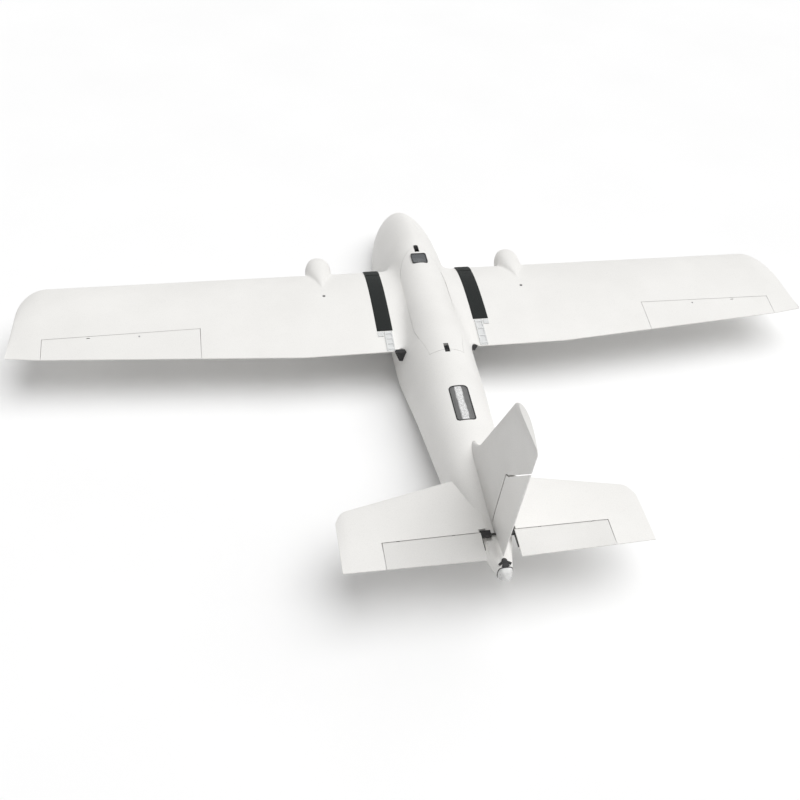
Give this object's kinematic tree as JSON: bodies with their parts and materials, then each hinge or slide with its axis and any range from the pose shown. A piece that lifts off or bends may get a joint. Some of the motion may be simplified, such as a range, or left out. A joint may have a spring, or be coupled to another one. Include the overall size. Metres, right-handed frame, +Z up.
{
  "type": "fixed wing drone",
  "caption": "Foam fixed wing drone airframe with wing-mounted nacelles, lift-off hatch, strapped wing joints and hinged control surfaces with pushrods.",
  "frame": {"origin": "centre of the bounding box in plan, at the belly", "axes": "+X towards the left wing tip, -Y towards the nose, +Z up"},
  "size_m": [1.8, 1.2508, 0.445],
  "materials": {
    "foam": "matte",
    "black_plastic": "satin",
    "strap": "satin weave",
    "clear_plastic": "clear",
    "carbon": "satin",
    "servo_case": "satin",
    "white_plastic": "satin",
    "steel": "bright",
    "plate_metal": "satin",
    "smoked_pane": "gloss",
    "module_case": "satin",
    "bright_plate": "bright",
    "electronics": "satin",
    "cap_plastic": "satin",
    "plywood": "satin",
    "battery_wrap": "gloss"
  },
  "bodies": {
    "airframe": {"fuselage_left": "foam", "fuselage_right": "foam", "vent_plate": "bright_plate", "vent_rim": "black_plastic", "wing_left": "foam", "wing_right": "foam", "nacelle_left": "foam", "nacelle_right": "foam", "motor_plate_left": "plate_metal", "motor_plate_right": "plate_metal", "speed_controllers": "electronics", "nacelle_bolts": "steel", "wing_strap_left": "strap", "wing_strap_right": "strap", "joint_cover_left": "clear_plastic", "joint_cover_right": "clear_plastic", "root_bracket_left": "black_plastic", "root_bracket_right": "black_plastic", "main_spar": "carbon", "rear_spar": "carbon", "aileron_hinges_left": "black_plastic", "aileron_hinges_right": "black_plastic", "aileron_servo_left": "servo_case", "aileron_servo_right": "servo_case", "tailplane_left": "foam", "tailplane_right": "foam", "tail_tube": "carbon", "elevator_hinges": "black_plastic", "elevator_servo": "servo_case", "fin": "foam", "rudder_hinges": "black_plastic", "rudder_servo": "servo_case", "tail_cap": "cap_plastic", "tail_clip": "black_plastic", "equipment_tray": "plywood", "battery": "battery_wrap"},
    "hatch_assembly": {"hatch": "foam", "window_rim": "black_plastic", "window_pane": "smoked_pane", "gps_module": "module_case"},
    "front_latch": {"hatch_latch_front": "black_plastic"},
    "rear_latch": {"hatch_latch_rear": "black_plastic"},
    "left_aileron": {"aileron_left": "foam", "aileron_horn_left": "black_plastic"},
    "right_aileron": {"aileron_right": "foam", "aileron_horn_right": "black_plastic"},
    "left_aileron_arm": {"aileron_arm_left": "white_plastic"},
    "right_aileron_arm": {"aileron_arm_right": "white_plastic"},
    "left_aileron_rod": {"aileron_rod_left": "steel"},
    "right_aileron_rod": {"aileron_rod_right": "steel"},
    "elevators": {"elevator_left": "foam", "elevator_right": "foam", "elevator_joiner": "black_plastic", "elevator_horn": "black_plastic"},
    "elevator_servo_arm": {"elevator_arm": "white_plastic"},
    "elevator_pushrod": {"elevator_rod": "steel"},
    "rudder_surface": {"rudder": "foam", "rudder_horn": "black_plastic"},
    "rudder_servo_arm": {"rudder_arm": "white_plastic"},
    "rudder_pushrod": {"rudder_rod": "steel"}
  },
  "joints": [
    {"name": "hatch_lift", "type": "slide", "parent": "airframe", "child": "hatch_assembly", "axis": [0, 0, 1], "range_m": [0, 0.08]},
    {"name": "front_latch_slide", "type": "slide", "parent": "hatch_assembly", "child": "front_latch", "axis": [0, 1, 0], "range_m": [0, 0.008]},
    {"name": "rear_latch_slide", "type": "slide", "parent": "hatch_assembly", "child": "rear_latch", "axis": [0, -1, 0], "range_m": [0, 0.008]},
    {"name": "left_aileron_hinge", "type": "hinge", "parent": "airframe", "child": "left_aileron", "pos_m": [0.632, -0.126, 0.10753], "axis": [1, 0, 0], "range_deg": [-25, 25]},
    {"name": "left_aileron_servo", "type": "hinge", "parent": "airframe", "child": "left_aileron_arm", "pos_m": [0.632, -0.184, 0.10753], "axis": [1, 0, 0], "range_deg": [-25, 25]},
    {"name": "left_aileron_link", "type": "hinge", "parent": "left_aileron_arm", "child": "left_aileron_rod", "pos_m": [0.632, -0.184, 0.08853], "axis": [1, 0, 0], "range_deg": [-25, 25]},
    {"name": "right_aileron_hinge", "type": "hinge", "parent": "airframe", "child": "right_aileron", "pos_m": [-0.632, -0.126, 0.10753], "axis": [1, 0, 0], "range_deg": [-25, 25]},
    {"name": "right_aileron_servo", "type": "hinge", "parent": "airframe", "child": "right_aileron_arm", "pos_m": [-0.632, -0.184, 0.10753], "axis": [1, 0, 0], "range_deg": [-25, 25]},
    {"name": "right_aileron_link", "type": "hinge", "parent": "right_aileron_arm", "child": "right_aileron_rod", "pos_m": [-0.632, -0.184, 0.08853], "axis": [1, 0, 0], "range_deg": [-25, 25]},
    {"name": "elevator_hinge", "type": "hinge", "parent": "airframe", "child": "elevators", "pos_m": [0.12, 0.5175, 0.122], "axis": [1, 0, 0], "range_deg": [-25, 25]},
    {"name": "elevator_servo_turn", "type": "hinge", "parent": "airframe", "child": "elevator_servo_arm", "pos_m": [0.12, 0.4675, 0.122], "axis": [1, 0, 0], "range_deg": [-25, 25]},
    {"name": "elevator_link", "type": "hinge", "parent": "elevator_servo_arm", "child": "elevator_pushrod", "pos_m": [0.12, 0.4675, 0.107], "axis": [1, 0, 0], "range_deg": [-25, 25]},
    {"name": "rudder_hinge", "type": "hinge", "parent": "airframe", "child": "rudder_surface", "pos_m": [0, 0.496, 0.118], "axis": [0, -0.1994, -0.9799], "range_deg": [-25, 25]},
    {"name": "rudder_servo_turn", "type": "hinge", "parent": "airframe", "child": "rudder_servo_arm", "pos_m": [0, 0.46016, 0.19264], "axis": [0, -0.1994, -0.9799], "range_deg": [-25, 25]},
    {"name": "rudder_link", "type": "hinge", "parent": "rudder_servo_arm", "child": "rudder_pushrod", "pos_m": [-0.015, 0.46016, 0.19264], "axis": [0, -0.1994, -0.9799], "range_deg": [-25, 25]}
  ],
  "couplings": [
    {"joint": "left_aileron_servo", "follows": "left_aileron_hinge", "ratio": 1},
    {"joint": "left_aileron_link", "follows": "left_aileron_hinge", "ratio": -1},
    {"joint": "right_aileron_servo", "follows": "right_aileron_hinge", "ratio": 1},
    {"joint": "right_aileron_link", "follows": "right_aileron_hinge", "ratio": -1},
    {"joint": "elevator_servo_turn", "follows": "elevator_hinge", "ratio": 1},
    {"joint": "elevator_link", "follows": "elevator_hinge", "ratio": -1},
    {"joint": "rudder_servo_turn", "follows": "rudder_hinge", "ratio": 1},
    {"joint": "rudder_link", "follows": "rudder_hinge", "ratio": -1}
  ]
}
